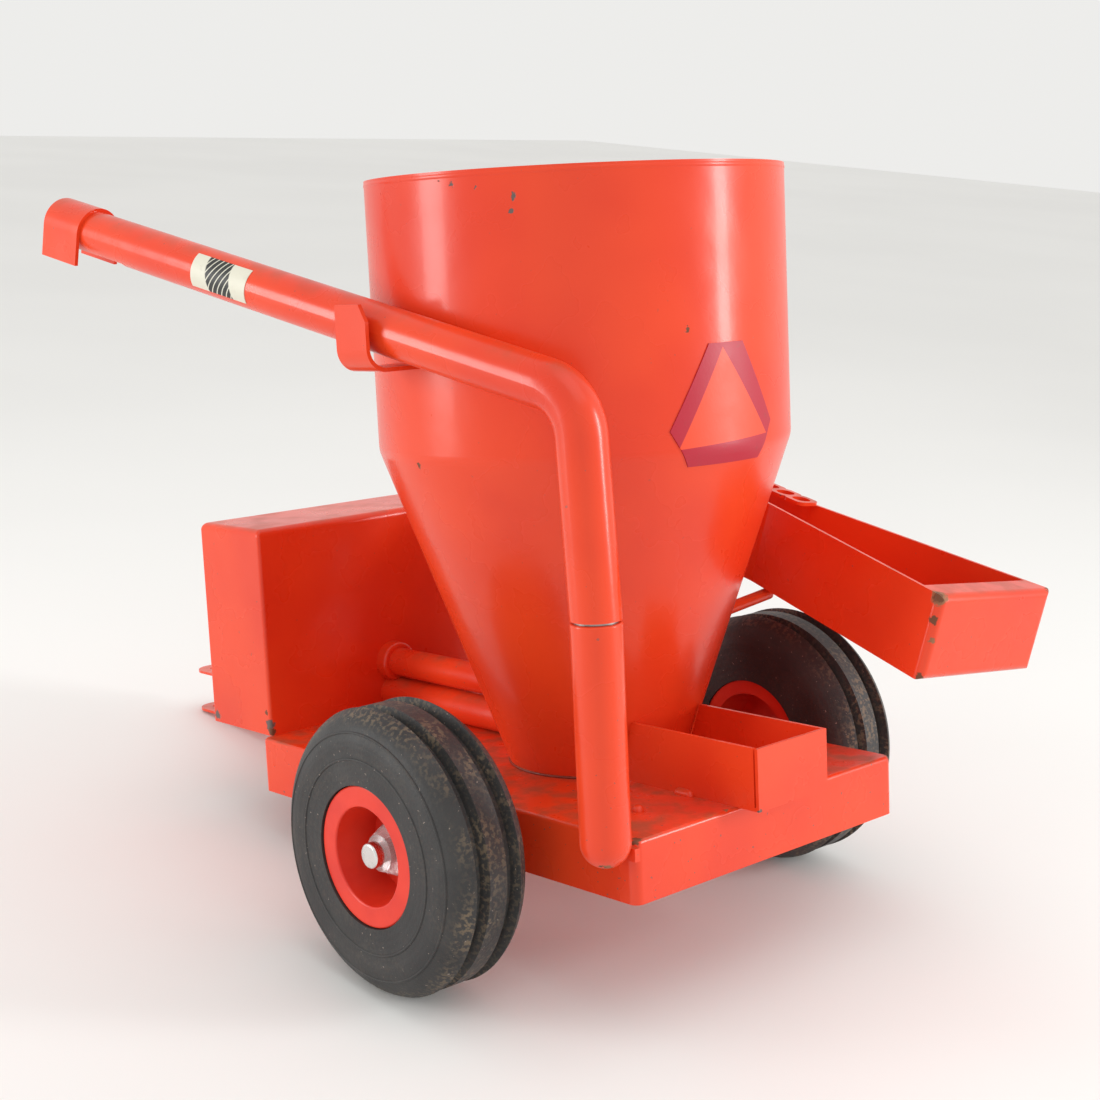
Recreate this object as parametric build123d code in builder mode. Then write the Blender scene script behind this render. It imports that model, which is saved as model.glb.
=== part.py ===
"""Pressed-steel toy feed grinder-mixer: a cone-bottomed mixing tank on a two-wheeled deck.

Frame: the origin is the centre of the hitch pin hole, midway between the two drawbar plates.
+X runs forward past the hitch, +Y to the left side, +Z up, with the deck level. Millimetres.
"""
from build123d import *

import os
from math import asin, atan2, cos, degrees, hypot, radians, sin, tan

os.makedirs("parts", exist_ok=True)

# ---------------------------------------------------------------- driving dimensions
# tank
tank_r = 52.0
tank_cone_h = 82.6
tank_wall_h = 66.3
tank_foot_r = 22.8
tank_sheet = 1.0
tank_bend_r = 7.0
rim_bead_r = 1.1
rim_bead_proud = 0.12

# deck and drawbar
hitch_to_tank = 183.5
deck_above_hitch = 8.0
deck_rear_reach = 59.7
deck_half_w = 46.0
deck_side_h = 15.0
deck_sheet = 1.2
window_play = 0.3
deck_edge_r = 1.0
deck_corner_r = 2.2
drawbar_w = 12.0
drawbar_t = 0.8
drawbar_root = 52.0
hitch_pin_r = 2.3
drawbar_spacer_r = 3.2
drawbar_rivet_r = 1.5
rivet_head_t = 0.9

# drive housing
housing_reach = 86.7
housing_depth = 29.7
housing_half_w = 43.4
housing_h = 58.1
housing_sheet = 1.0
housing_edge_r = 2.0
bracket_w = 14.0
bracket_y = 24.0
bracket_h = 12.0
bracket_t = 1.0

# transfer tubes
upper_tube_r = 4.1
upper_tube_z = 14.0
collar_r = 5.7
collar_w = 4.0
lower_tube_r = 4.7

# supplement bin
bin_reach = 66.5
bin_half_w = 12.3
bin_h = 15.0
bin_sheet = 0.9
bin_slit = 0.5
bin_to_cone = 0.4
bead_r = 1.5
bead_len = 6.0
bead_x = -42.9
weld_gap = 0.02
post_weld_len = 3.0
post_weld_t = 1.6

# auger
post_x = -56.5
auger_r = 5.8
post_tip_z = -5.0
seam_z = 50.2
swivel_pin_r = 4.0
swivel_fit = 0.05
swivel_pin_down = 28.0
swivel_pin_up = 18.0
swivel_washer_t = 0.5
swivel_washer_r = 4.9
arm_root_z = 98.9
arm_lean = 2.6
arm_slope = 13.9
arm_bend_r = 12.0
arm_reach = 174.0
arm_to_tank = 0.5
slot_len = 24.0
slot_depth = 1.2
tube_wall = 0.9
spout_bore_len = 40.0
hood_back = 7.2
hood_len = 14.8
hood_drop = 8.4
hood_sheet = 1.0

# auger cradle
cradle_x = 5.0
cradle_w = 11.5
cradle_sheet = 1.0
cradle_side_gap = 0.6
cradle_under_gap = 2.6
cradle_lip = 0.3
cradle_bend_r = 4.5
cradle_notch = 4.0

# feeder trough
feeder_end = (-82.8, -59.8, 42.0)
feeder_heading = 177.0
feeder_slope = 13.9
feeder_roll = 7.0
feeder_len = 100.0
feeder_end_half_w = 22.9
feeder_neck_half_w = 9.0
feeder_neck_len = 28.8
feeder_root = 9.0
feeder_h = 22.0
feeder_sheet = 1.0
feeder_lip = 7.5
feeder_pin_r = 2.0
feeder_fit = 0.05
chain_half_w = 4.2
chain_start = 0.5
chain_pitch = 6.0
chain_links = 5
chain_lap = 0.8
chain_web = 1.5
chain_t = 1.0
bracket_plate_t = 1.6

# mill housing
mill_front = 68.0
mill_rear = 41.0
mill_inner_y = -20.0
mill_sheet = 1.0

# support rod
rod_r = 1.65
rod_x = -12.5
rod_end_y = -54.5
rod_rise = 6.0
rod_gap = 0.25

# wheels
axle_x = -2.75
axle_z = -7.4
axle_r = 2.0
axle_fit = 0.06
wheel_centre_y = 66.8
tyre_r = 34.6
tyre_w = 24.0
tyre_shoulder_r = 8.2
groove_y = 4.5
groove_depth = 2.6
groove_half_w = 2.0
rim_r = 17.0
rim_seat_r = 16.0
rim_w = 22.4
rim_recess_r = 11.9
rim_recess_depth = 11.0
rim_web = 3.0
rim_hub_r = 5.0
wheel_play = 0.25
cap_r = 3.1
cap_t = 2.4
cap_inset = 0.7
retainer_r = 7.8
retainer_wall = 0.8

# markings
emblem_t = 0.25
emblem_turn = 2.9
emblem_z = 79.4
emblem_h = 28.0
emblem_half_w = 16.3
emblem_tip_half_w = 5.4
emblem_foot_half_w = 11.3
emblem_corner_h = 8.6
decal_t = 0.15
decal_start = 104.9
decal_len = 20.6
decal_half_angle = 44.0
decal_centre_angle = 8.0

# ---------------------------------------------------------------- derived places
tank_x = -hitch_to_tank
deck_z = deck_above_hitch
rim_z = tank_cone_h + tank_wall_h
cone_slope = (tank_r - tank_foot_r) / tank_cone_h
deck_front_reach = housing_reach + housing_sheet
post_y = deck_half_w + auger_r
post_radius = hypot(post_x, post_y)
arm_line_r = tank_r + auger_r + arm_to_tank
arm_heading = degrees(asin(arm_line_r / post_radius) - atan2(post_y, -post_x))
wheel_inner_y = wheel_centre_y - rim_w / 2
rim_face_y = wheel_centre_y + rim_w / 2
cap_face_y = rim_face_y - cap_inset


def at(x, y, z):
    """A point measured from the tank's axis on the deck's top face."""
    return (tank_x + x, y, deck_z + z)


def save(piece, name):
    """Name a finished piece and write its STEP file."""
    piece.label = name
    export_step(piece, f"parts/{name}.step")


def cone_r_at(z):
    """Outer radius of the tank's cone at a height above the deck."""
    return tank_foot_r + cone_slope * z


# planes used more than once
side_plane = Plane(origin=at(0, 0, 0), x_dir=(1, 0, 0), z_dir=(0, -1, 0))
tank_axis = Axis(at(0, 0, 0), (0, 0, 1))


def tank_shape(grow, floor_z):
    """Closed solid of the tank with its walls moved outwards, from a floor up to the rim."""
    slant = hypot(1, cone_slope)
    foot_r = tank_foot_r + grow * slant + cone_slope * floor_z
    knee_z = tank_cone_h + grow * (1 - slant) / cone_slope
    with BuildPart() as shape:
        with BuildSketch(side_plane):
            with BuildLine():
                Polyline(
                    (0, floor_z),
                    (foot_r, floor_z),
                    (tank_r + grow, knee_z),
                    (tank_r + grow, rim_z),
                    (0, rim_z),
                    close=True,
                )
            make_face()
            knee = vertices().group_by(Axis.X)[-1].sort_by(Axis.Y)[0]
            fillet(knee, tank_bend_r + grow)
        revolve(axis=tank_axis)
    return shape.part


# ---------------------------------------------------------------- tank
tank_solid = tank_shape(0.0, 0.0)

with BuildPart() as mixing_tank:
    add(tank_solid)
    add(tank_shape(-tank_sheet, tank_sheet), mode=Mode.SUBTRACT)
    with BuildSketch(side_plane):
        with Locations((tank_r - rim_bead_r + rim_bead_proud, rim_z - rim_bead_r)):
            Circle(rim_bead_r)
    revolve(axis=tank_axis)
    with Locations(at(0, 0, tank_sheet / 2)):
        Cylinder(drawbar_rivet_r, 3 * tank_sheet, mode=Mode.SUBTRACT)
save(mixing_tank.part, "mixing_tank")

with BuildPart() as tank_rivet:
    with Locations(at(0, 0, tank_sheet)):
        Cylinder(2 * drawbar_rivet_r, rivet_head_t, align=(Align.CENTER, Align.CENTER, Align.MIN))
    with Locations(at(0, 0, -deck_sheet)):
        Cylinder(
            drawbar_rivet_r, deck_sheet + tank_sheet, align=(Align.CENTER, Align.CENTER, Align.MIN)
        )
        Cylinder(2 * drawbar_rivet_r, rivet_head_t, align=(Align.CENTER, Align.CENTER, Align.MAX))
save(tank_rivet.part, "tank_rivet")

# ---------------------------------------------------------------- deck
deck_len = deck_rear_reach + deck_front_reach
deck_mid = (deck_front_reach - deck_rear_reach) / 2
window_w = drawbar_w + 2 * window_play
lower_plate_z = deck_sheet + drawbar_t - 2 * deck_above_hitch

with BuildPart() as deck_pan:
    with BuildSketch(Plane(origin=at(deck_mid, 0, 0))):
        RectangleRounded(deck_len, 2 * deck_half_w, deck_corner_r)
    extrude(amount=-deck_side_h)
    fillet(deck_pan.edges().group_by(Axis.Z)[-1], deck_edge_r)
    with BuildSketch(Plane(origin=at(deck_mid, 0, -deck_sheet))):
        RectangleRounded(
            deck_len - 2 * deck_sheet,
            2 * (deck_half_w - deck_sheet),
            deck_corner_r - deck_sheet,
        )
    extrude(amount=-deck_side_h, mode=Mode.SUBTRACT)
    with Locations(at(deck_front_reach, 0, -deck_sheet)):
        Box(
            4 * deck_sheet,
            window_w,
            drawbar_t + window_play,
            align=(Align.CENTER, Align.CENTER, Align.MAX),
            mode=Mode.SUBTRACT,
        )
    with Locations(at(deck_front_reach, 0, lower_plate_z + window_play)):
        Box(
            4 * deck_sheet,
            window_w,
            deck_side_h,
            align=(Align.CENTER, Align.CENTER, Align.MAX),
            mode=Mode.SUBTRACT,
        )
    with Locations(at(0, 0, 0)):
        Cylinder(drawbar_rivet_r, 4 * deck_sheet, mode=Mode.SUBTRACT)
    with Locations(Location(at(axle_x, 0, axle_z), (90, 0, 0))):
        Cylinder(axle_r, 3 * deck_half_w, mode=Mode.SUBTRACT)
save(deck_pan.part, "deck_pan")

# ---------------------------------------------------------------- drawbar
drawbar_tip = drawbar_w / 2
drawbar_back = hitch_to_tank - drawbar_root
drawbar_top = deck_z - deck_sheet
spacer_xs = [drawbar_root + 8.0 - hitch_to_tank, deck_front_reach - 12.0 - hitch_to_tank]


def drawbar_plate(top_z):
    """One flat drawbar plate with a round nose and the hitch pin hole."""
    with BuildPart() as plate:
        with BuildSketch(Plane.XY.offset(top_z)):
            Circle(drawbar_tip)
            with Locations((-drawbar_back / 2, 0)):
                Rectangle(drawbar_back, drawbar_w)
            Circle(hitch_pin_r, mode=Mode.SUBTRACT)
            with Locations(*[(x, 0) for x in spacer_xs]):
                Circle(drawbar_rivet_r, mode=Mode.SUBTRACT)
        extrude(amount=-drawbar_t)
    return plate.part


save(drawbar_plate(drawbar_top), "drawbar_upper_plate")
save(drawbar_plate(-drawbar_top + drawbar_t), "drawbar_lower_plate")

with BuildPart() as drawbar_spacers:
    with Locations(*[(x, 0, 0) for x in spacer_xs]):
        Cylinder(drawbar_spacer_r, 2 * (drawbar_top - drawbar_t))
        Cylinder(drawbar_rivet_r, 2 * drawbar_top, mode=Mode.SUBTRACT)
save(drawbar_spacers.part, "drawbar_spacers")

with BuildPart() as drawbar_rivets:
    with Locations(*[(x, 0, 0) for x in spacer_xs]):
        Cylinder(drawbar_rivet_r, 2 * drawbar_top)
    with Locations(*[(x, 0, -drawbar_top) for x in spacer_xs]):
        Cylinder(2 * drawbar_rivet_r, rivet_head_t, align=(Align.CENTER, Align.CENTER, Align.MAX))
save(drawbar_rivets.part, "drawbar_rivets")

# ---------------------------------------------------------------- drive housing
housing_mid = housing_reach + housing_depth / 2

with BuildPart() as drive_housing:
    with BuildSketch(Plane(origin=at(housing_mid, 0, 0))):
        Rectangle(housing_depth, 2 * housing_half_w)
    extrude(amount=housing_h)
    fillet(drive_housing.edges().filter_by(Axis.Z), housing_edge_r / 2)
    fillet(drive_housing.edges().group_by(Axis.Z)[-1], housing_edge_r)
    with BuildSketch(Plane(origin=at(housing_mid, 0, 0))):
        Rectangle(housing_depth - 2 * housing_sheet, 2 * (housing_half_w - housing_sheet))
    extrude(amount=housing_h - housing_sheet, mode=Mode.SUBTRACT)
    with Locations(Location(at(housing_reach, 0, upper_tube_z), (0, 90, 0))):
        Cylinder(upper_tube_r, 3 * housing_sheet, mode=Mode.SUBTRACT)
save(drive_housing.part, "drive_housing")

bracket_low = -deck_side_h + 2.0
bracket_ys = [-bracket_y, bracket_y]
clip_rivet_zs = [bracket_h - 4.0, bracket_low + 4.0]

with BuildPart() as housing_clips:
    for clip_y in bracket_ys:
        with Locations(at(deck_front_reach, clip_y, bracket_low)):
            Box(
                bracket_t,
                bracket_w,
                bracket_h - bracket_low,
                align=(Align.MIN, Align.CENTER, Align.MIN),
            )
save(housing_clips.part, "housing_clips")

with BuildPart() as clip_rivets:
    for clip_y in bracket_ys:
        for rivet_z in clip_rivet_zs:
            with Locations(Location(at(deck_front_reach + bracket_t, clip_y, rivet_z), (0, 90, 0))):
                Cylinder(
                    drawbar_rivet_r, rivet_head_t, align=(Align.CENTER, Align.CENTER, Align.MIN)
                )
save(clip_rivets.part, "clip_rivets")

# ---------------------------------------------------------------- transfer tubes
tube_run = housing_reach

with BuildPart() as transfer_tube_upper:
    with Locations(Location(at(housing_reach + housing_sheet, 0, upper_tube_z), (0, -90, 0))):
        Cylinder(
            upper_tube_r,
            tube_run + housing_sheet,
            align=(Align.CENTER, Align.CENTER, Align.MIN),
        )
    add(tank_solid, mode=Mode.SUBTRACT)
    split(bisect_by=Plane(origin=at(tank_foot_r, 0, 0), z_dir=(1, 0, 0)))
save(transfer_tube_upper.part, "transfer_tube_upper")

with BuildPart() as transfer_tube_lower:
    with Locations(Location(at(housing_reach, 0, lower_tube_r), (0, -90, 0))):
        Cylinder(lower_tube_r, tube_run, align=(Align.CENTER, Align.CENTER, Align.MIN))
    add(tank_solid, mode=Mode.SUBTRACT)
    split(bisect_by=Plane(origin=at(tank_foot_r / 2, 0, 0), z_dir=(1, 0, 0)))
save(transfer_tube_lower.part, "transfer_tube_lower")

with BuildPart() as tube_collar:
    with Locations(Location(at(housing_reach, 0, upper_tube_z), (0, -90, 0))):
        Cylinder(collar_r, collar_w, align=(Align.CENTER, Align.CENTER, Align.MIN))
        Cylinder(
            upper_tube_r, collar_w, align=(Align.CENTER, Align.CENTER, Align.MIN), mode=Mode.SUBTRACT
        )
    fillet(tube_collar.edges().group_by(Axis.X)[0].sort_by(SortBy.LENGTH)[-1], 1.0)
    with Locations(Location(at(housing_reach, 0, lower_tube_r), (0, -90, 0))):
        Cylinder(lower_tube_r, 3 * collar_w, mode=Mode.SUBTRACT)
save(tube_collar.part, "tube_collar")

# ---------------------------------------------------------------- supplement bin
bin_room_r = cone_r_at(bin_h) + bin_to_cone

with BuildPart() as supplement_bin:
    with BuildSketch(Plane(origin=at(-bin_reach / 2, 0, 0))):
        Rectangle(bin_reach, 2 * bin_half_w)
    extrude(amount=bin_h)
    with BuildSketch(Plane(origin=at((bin_sheet - bin_reach + 10.0) / 2, 0, bin_sheet))):
        Rectangle(bin_reach - bin_sheet + 10.0, 2 * (bin_half_w - bin_sheet))
    extrude(amount=bin_h, mode=Mode.SUBTRACT)
    with BuildSketch(side_plane):
        with BuildLine():
            Polyline(
                (0, -1),
                (cone_r_at(0) + bin_to_cone, -1),
                (cone_r_at(0) + bin_to_cone, 0),
                (bin_room_r, bin_h),
                (bin_room_r, bin_h + 1),
                (0, bin_h + 1),
                close=True,
            )
        make_face()
    revolve(axis=tank_axis, mode=Mode.SUBTRACT)
    with Locations(at(-bin_reach + bin_sheet + bin_slit / 2, bin_half_w, bin_sheet)):
        Box(
            bin_slit,
            3 * bin_sheet,
            bin_h,
            align=(Align.CENTER, Align.CENTER, Align.MIN),
            mode=Mode.SUBTRACT,
        )
save(supplement_bin.part, "supplement_bin")

with BuildPart() as weld_beads:
    for bead_side in (-1, 1):
        bead_y = bead_side * bin_half_w
        with BuildSketch(Plane(origin=at(bead_x, bead_y, 0), x_dir=(0, 1, 0), z_dir=(1, 0, 0))):
            Circle(bead_r)
        extrude(amount=bead_len / 2, both=True)
    fillet(weld_beads.edges().filter_by(GeomType.CIRCLE), bead_r * 0.9)
    with Locations(at(post_x + 13.0, post_y - 23.0, 0)):
        Sphere(bead_r)
    with Locations(at(bead_x, 0, 0)):
        Box(3 * bead_len, 2 * bin_half_w, 4 * bead_r, mode=Mode.SUBTRACT)
    split(bisect_by=Plane(origin=at(0, 0, 0)), keep=Keep.TOP)
save(weld_beads.part, "weld_beads")

# ---------------------------------------------------------------- auger post and arm
post_dome_z = post_tip_z + auger_r

with BuildPart() as auger_post:
    with Locations(at(post_x, post_y, post_dome_z)):
        Sphere(auger_r)
        Cylinder(auger_r, seam_z - post_dome_z, align=(Align.CENTER, Align.CENTER, Align.MIN))
    fillet(auger_post.edges().group_by(Axis.Z)[-1], 0.5)
    with Locations(at(post_x, post_y, seam_z)):
        Cylinder(
            swivel_pin_r + swivel_fit,
            swivel_pin_down + 1.0,
            align=(Align.CENTER, Align.CENTER, Align.MAX),
            mode=Mode.SUBTRACT,
        )
save(auger_post.part, "auger_post")

with BuildPart() as post_weld:
    with BuildSketch(Plane(origin=at(post_x, deck_half_w, -deck_edge_r))):
        Rectangle(2 * auger_r - 2.0, post_weld_t, align=(Align.CENTER, Align.MIN))
    extrude(amount=-post_weld_len)
    with Locations(at(post_x, post_y, post_dome_z)):
        Sphere(auger_r + weld_gap, mode=Mode.SUBTRACT)
save(post_weld.part, "post_weld")

washer_z = seam_z + swivel_fit
arm_low_z = washer_z + swivel_washer_t + swivel_fit

with BuildPart() as auger_swivel_pin:
    with Locations(at(post_x, post_y, seam_z - swivel_pin_down)):
        Cylinder(
            swivel_pin_r, swivel_pin_down + swivel_pin_up, align=(Align.CENTER, Align.CENTER, Align.MIN)
        )
    chamfer(auger_swivel_pin.edges().group_by(Axis.Z)[0], 0.6)
    with Locations(at(post_x, post_y, washer_z)):
        Cylinder(swivel_washer_r, swivel_washer_t, align=(Align.CENTER, Align.CENTER, Align.MIN))
save(auger_swivel_pin.part, "auger_swivel_pin")

# the arm's own plane: x runs outwards along the arm's heading, y is up
arm_dir = Vector(cos(radians(arm_heading)), sin(radians(arm_heading)), 0)
arm_plane = Plane(origin=at(post_x, post_y, 0), x_dir=arm_dir, z_dir=arm_dir.cross(Vector(0, 0, 1)))
arm_rise = tan(radians(arm_slope))
arm_end = (arm_reach, arm_root_z + arm_reach * arm_rise)
arm_axis_dir = arm_dir * cos(radians(arm_slope)) + Vector(0, 0, 1) * sin(radians(arm_slope))
arm_side_dir = Vector(0, 0, 1).cross(arm_dir)


def arm_section_plane(reach):
    """Plane across the arm at a distance out from the post, x to the left, y up."""
    centre = arm_plane.from_local_coords((reach, arm_root_z + reach * arm_rise, 0))
    return Plane(origin=centre, x_dir=arm_side_dir, z_dir=arm_axis_dir)


lean_rate = tan(radians(arm_lean))
knee_x = (arm_root_z - arm_low_z) * lean_rate / (1 - arm_rise * lean_rate)
knee = (knee_x, arm_root_z + knee_x * arm_rise)
leg_start = (-auger_r * lean_rate, arm_low_z - auger_r)
leg_base = arm_plane.from_local_coords((*leg_start, 0))
leg_dir = arm_dir * sin(radians(arm_lean)) + Vector(0, 0, 1) * cos(radians(arm_lean))

with BuildPart() as auger_arm:
    with BuildLine(arm_plane) as arm_path:
        FilletPolyline(leg_start, knee, arm_end, radius=arm_bend_r)
    with BuildSketch(Plane(origin=leg_base, x_dir=arm_side_dir, z_dir=leg_dir)):
        Circle(auger_r)
    sweep(path=arm_path.wires()[0])
    split(bisect_by=Plane(origin=at(post_x, post_y, arm_low_z)), keep=Keep.TOP)
    with Locations(at(post_x, post_y, arm_low_z)):
        Cylinder(
            swivel_pin_r + swivel_fit,
            swivel_pin_up,
            align=(Align.CENTER, Align.CENTER, Align.MIN),
            mode=Mode.SUBTRACT,
        )
    with BuildSketch(arm_section_plane(arm_reach + 1.0)):
        Circle(auger_r - tube_wall)
    extrude(amount=-spout_bore_len, mode=Mode.SUBTRACT)
    with BuildSketch(arm_section_plane(arm_reach + 1.0)):
        with Locations((0, -auger_r)):
            Rectangle(3 * auger_r, 2 * slot_depth)
    extrude(amount=-slot_len, mode=Mode.SUBTRACT)
save(auger_arm.part, "auger_arm")

hood_in_r = auger_r
with BuildPart() as spout_hood:
    with BuildSketch(arm_section_plane(arm_reach - hood_back)):
        Circle(hood_in_r + hood_sheet)
        with Locations((0, -hood_drop / 2)):
            Rectangle(2 * (hood_in_r + hood_sheet), hood_drop)
        Circle(hood_in_r, mode=Mode.SUBTRACT)
        with Locations((0, -hood_drop / 2 - 0.5)):
            Rectangle(2 * hood_in_r, hood_drop + 1.0, mode=Mode.SUBTRACT)
    extrude(amount=hood_len)
save(spout_hood.part, "spout_hood")

with BuildPart() as auger_decal:
    with BuildSketch(arm_section_plane(decal_start * cos(radians(arm_slope)))):
        Circle(auger_r + decal_t)
        Circle(auger_r, mode=Mode.SUBTRACT)
        with BuildLine():
            fan_r = 2 * auger_r
            low_angle = radians(decal_centre_angle - decal_half_angle)
            high_angle = radians(decal_centre_angle + decal_half_angle)
            Polyline(
                (0, 0),
                (fan_r * cos(low_angle), fan_r * sin(low_angle)),
                (fan_r, 0),
                (fan_r * cos(high_angle), fan_r * sin(high_angle)),
                close=True,
            )
        make_face(mode=Mode.INTERSECT)
    extrude(amount=decal_len)
save(auger_decal.part, "auger_decal")

# ---------------------------------------------------------------- cradle
cradle_reach = cradle_x - post_x
cradle_y = post_y + cradle_reach * tan(radians(arm_heading))
cradle_tube_z = arm_root_z + cradle_reach / cos(radians(arm_heading)) * arm_rise
cradle_spread = cradle_w / 2 * arm_rise
tube_half_h = auger_r / cos(radians(arm_slope))
cradle_in_y = cradle_y + auger_r + cradle_side_gap + cradle_w / 2 * tan(radians(arm_heading))
cradle_out_y = cradle_in_y + cradle_sheet
cradle_floor_z = cradle_tube_z - tube_half_h - cradle_spread - cradle_under_gap
cradle_top_z = cradle_tube_z + tube_half_h - cradle_lip
cradle_back_y = tank_r - 8.0

with BuildPart() as auger_cradle:
    with BuildSketch(Plane(origin=at(cradle_x, 0, 0), x_dir=(0, 1, 0), z_dir=(1, 0, 0))):
        with BuildLine():
            FilletPolyline(
                (cradle_back_y, cradle_floor_z),
                (cradle_out_y, cradle_floor_z),
                (cradle_out_y, cradle_top_z),
                radius=cradle_bend_r + cradle_sheet,
            )
            Line((cradle_out_y, cradle_top_z), (cradle_in_y, cradle_top_z))
            FilletPolyline(
                (cradle_in_y, cradle_top_z),
                (cradle_in_y, cradle_floor_z + cradle_sheet),
                (cradle_back_y, cradle_floor_z + cradle_sheet),
                radius=cradle_bend_r,
            )
            Line((cradle_back_y, cradle_floor_z + cradle_sheet), (cradle_back_y, cradle_floor_z))
        make_face()
    extrude(amount=cradle_w / 2, both=True)
    add(tank_solid, mode=Mode.SUBTRACT)
    with BuildSketch(Plane(origin=at(cradle_x, 0, 0), x_dir=(1, 0, 0), z_dir=(0, -1, 0))):
        with BuildLine():
            Polyline(
                (-cradle_w / 2, cradle_top_z),
                (-cradle_w / 2, cradle_top_z - cradle_notch),
                (-cradle_w / 2 + cradle_notch * 0.6, cradle_top_z),
                close=True,
            )
        make_face()
    extrude(amount=-2 * cradle_out_y, mode=Mode.SUBTRACT)
save(auger_cradle.part, "auger_cradle")

# ---------------------------------------------------------------- feeder
heading = radians(feeder_heading)
slope = radians(feeder_slope)
roll = radians(feeder_roll)
feeder_out = Vector(cos(slope) * cos(heading), cos(slope) * sin(heading), -sin(slope))
feeder_rise = Vector(sin(slope) * cos(heading), sin(slope) * sin(heading), cos(slope))
feeder_left = Vector(sin(heading), -cos(heading), 0)
feeder_up = feeder_rise * cos(roll) - feeder_left * sin(roll)
feeder_pivot = Vector(*at(*feeder_end)) - feeder_out * feeder_len - feeder_up * feeder_h
# x runs outwards, y to the machine's right, z square to the trough's floor
feeder_plane = Plane(origin=feeder_pivot, x_dir=feeder_out, z_dir=feeder_up)


def feeder_outline(inset, far):
    """Plan outline of the trough, inset by a wall, from its root to a far end."""
    flare = (feeder_end_half_w - feeder_neck_half_w) / (feeder_len - feeder_neck_len)
    far_half_w = feeder_neck_half_w + flare * (far - feeder_neck_len)
    return [
        (-feeder_root, inset - feeder_neck_half_w),
        (feeder_neck_len, inset - feeder_neck_half_w),
        (far, inset - far_half_w),
        (far, far_half_w - inset),
        (feeder_neck_len, feeder_neck_half_w - inset),
        (-feeder_root, feeder_neck_half_w - inset),
    ]


with BuildPart() as feeder_trough:
    with BuildSketch(feeder_plane):
        with BuildLine():
            Polyline(*feeder_outline(0.0, feeder_len), close=True)
        make_face()
    extrude(amount=feeder_h)
    fillet(
        feeder_trough.faces().sort_by(Axis(feeder_pivot, feeder_out))[-1].edges(),
        2.0,
    )
    with BuildSketch(feeder_plane.offset(feeder_sheet)):
        with BuildLine():
            Polyline(*feeder_outline(feeder_sheet, feeder_len - feeder_sheet), close=True)
        make_face()
        with Locations((-feeder_root, 0)):
            Rectangle(6.0, 2 * (feeder_neck_half_w - feeder_sheet))
    extrude(amount=feeder_h - 2 * feeder_sheet, mode=Mode.SUBTRACT)
    with BuildSketch(feeder_plane.offset(feeder_h - 2 * feeder_sheet)):
        with BuildLine():
            Polyline(*feeder_outline(feeder_sheet, feeder_len - feeder_lip), close=True)
        make_face()
        with Locations((-feeder_root, 0)):
            Rectangle(6.0, 2 * (feeder_neck_half_w - feeder_sheet))
    extrude(amount=3 * feeder_sheet, mode=Mode.SUBTRACT)
    with BuildSketch(feeder_plane):
        Circle(feeder_pin_r + feeder_fit)
    extrude(amount=2 * feeder_sheet, mode=Mode.SUBTRACT)
save(feeder_trough.part, "feeder_trough")

chain_v = feeder_neck_half_w - chain_half_w

with BuildPart() as feeder_chain:
    with BuildSketch(feeder_plane.offset(feeder_h)):
        for link in range(chain_links):
            link_u = chain_start + (link + 0.5) * chain_pitch
            with Locations((link_u, chain_v)):
                RectangleRounded(chain_pitch + chain_lap, 2 * chain_half_w, chain_half_w / 2)
        for link in range(chain_links):
            link_u = chain_start + (link + 0.5) * chain_pitch
            with Locations((link_u, chain_v)):
                SlotOverall(
                    2 * chain_half_w - 2 * chain_web,
                    chain_pitch - chain_web,
                    rotation=90,
                    mode=Mode.SUBTRACT,
                )
    extrude(amount=chain_t)
save(feeder_chain.part, "feeder_chain")

# bracket plate that carries the pivot, laid under the trough's floor in the same plane
mill_mid_x = (mill_front + mill_rear) / 2
mill_outer_y = -deck_half_w + 0.5
mill_mid_y = (mill_inner_y + mill_outer_y) / 2
plate_under = feeder_plane.offset(-feeder_fit - bracket_plate_t)


def on_plate(x, y):
    """In-plane coordinates of the plate above a deck position."""
    base = Vector(*at(x, y, 0))
    lift = (plate_under.origin - base).dot(feeder_up) / feeder_up.Z
    spot = plate_under.to_local_coords(base + Vector(0, 0, lift))
    return (spot.X, spot.Y)


seat_a = on_plate(mill_mid_x - 7.0, mill_mid_y)
seat_b = on_plate(mill_mid_x + 7.0, mill_mid_y)
plate_nose_r = feeder_neck_half_w - 1.0

with BuildPart() as feeder_bracket:
    with BuildSketch(plate_under):
        make_hull(
            [
                *Edge.make_circle(plate_nose_r).edges(),
                *Edge.make_circle(6.0).moved(Location((*seat_a, 0))).edges(),
                *Edge.make_circle(6.0).moved(Location((*seat_b, 0))).edges(),
            ]
        )
        Circle(feeder_pin_r, mode=Mode.SUBTRACT)
        with Locations(seat_a, seat_b):
            Circle(drawbar_rivet_r, mode=Mode.SUBTRACT)
    extrude(amount=bracket_plate_t)
save(feeder_bracket.part, "feeder_bracket")

with BuildPart() as feeder_pivot_rivet:
    with BuildSketch(plate_under.offset(-rivet_head_t)):
        Circle(2 * feeder_pin_r)
    extrude(amount=rivet_head_t)
    with BuildSketch(plate_under):
        Circle(feeder_pin_r)
    extrude(amount=bracket_plate_t + 2 * feeder_fit + feeder_sheet)
    with BuildSketch(feeder_plane.offset(feeder_sheet + feeder_fit)):
        Circle(2 * feeder_pin_r)
    extrude(amount=rivet_head_t)
save(feeder_pivot_rivet.part, "feeder_pivot_rivet")

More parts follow.
